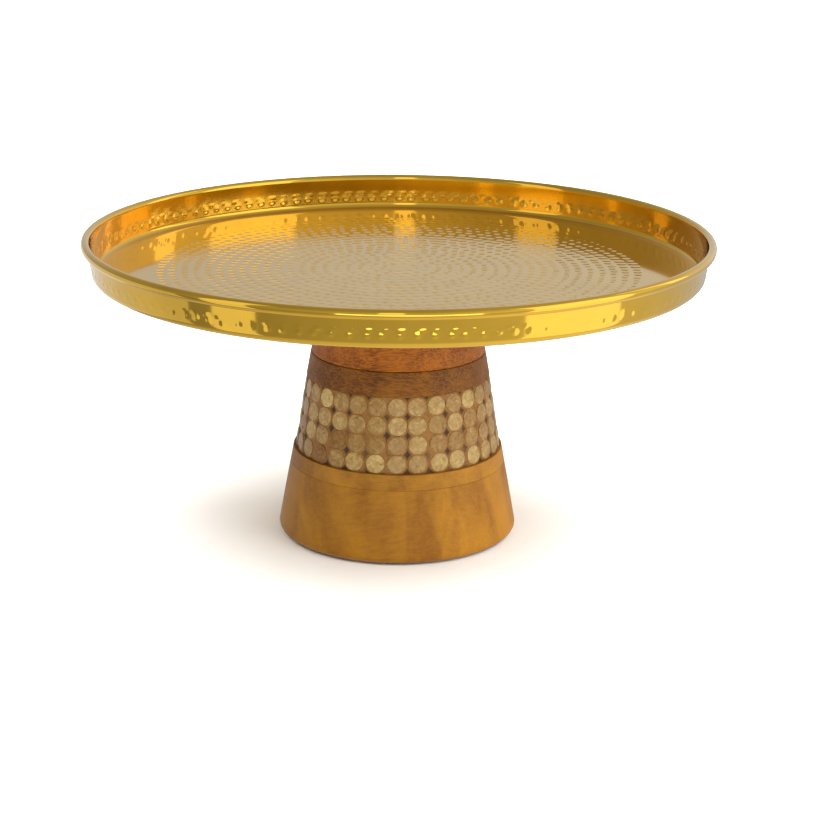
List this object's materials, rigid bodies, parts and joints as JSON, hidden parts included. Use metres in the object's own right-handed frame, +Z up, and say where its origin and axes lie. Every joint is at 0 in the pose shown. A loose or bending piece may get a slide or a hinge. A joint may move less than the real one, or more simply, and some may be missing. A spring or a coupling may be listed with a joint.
{
  "type": "cake stand",
  "caption": "Round footed cake stand: shallow hammered gold metal tray with a rolled rim, screwed onto a conical wooden pedestal with a mother-of-pearl mosaic band.",
  "frame": {"origin": "centre of the pedestal's foot, on the table", "axes": "+Z up along the stand's own axis; -Y towards the viewer in front; +X to that viewer's right"},
  "size_m": [0.3048, 0.3048, 0.1501],
  "materials": {
    "gold_plated_steel": "polished, hand hammered",
    "zinc_plated_steel": "zinc plated",
    "turned_brass": "turned",
    "black_rubber": "moulded",
    "red_mango_wood": "turned and waxed",
    "brown_mango_wood": "turned and waxed",
    "pale_mango_wood": "turned and waxed",
    "base_mango_wood": "turned and waxed",
    "core_wood": "turned, unfinished",
    "beech_dowel": "planed",
    "tan_resin": "cast and sanded",
    "shell": "polished mother-of-pearl",
    "cork": "pressed cork granules"
  },
  "bodies": {
    "pedestal": {"threaded_insert": "turned_brass", "top_block": "red_mango_wood", "upper_ring": "brown_mango_wood", "mosaic_core": "core_wood", "resin_bed": "tan_resin", "shell_row_1": "shell", "shell_row_2": "shell", "shell_row_3": "shell", "shell_row_4": "shell", "lower_ring_left": "pale_mango_wood", "lower_ring_right": "pale_mango_wood", "base_board_left": "base_mango_wood", "base_board_right": "base_mango_wood", "centre_dowel": "beech_dowel", "cork_pad": "cork"},
    "washer": {"seat_washer": "black_rubber"},
    "tray": {"tray": "gold_plated_steel", "mounting_plate": "zinc_plated_steel", "threaded_stud": "zinc_plated_steel"}
  },
  "joints": [
    {"name": "tray_rise", "type": "slide", "parent": "pedestal", "child": "washer", "axis": [0, 0, 1], "range_m": [0, 0.0125]},
    {"name": "tray_turn", "type": "hinge", "parent": "washer", "child": "tray", "pos_m": [0, 0, 0.128], "axis": [0, 0, 1], "range_deg": [0, 3600]}
  ],
  "couplings": [
    {"joint": "tray_rise", "follows": "tray_turn", "m_per_rad": 0.00019894}
  ]
}
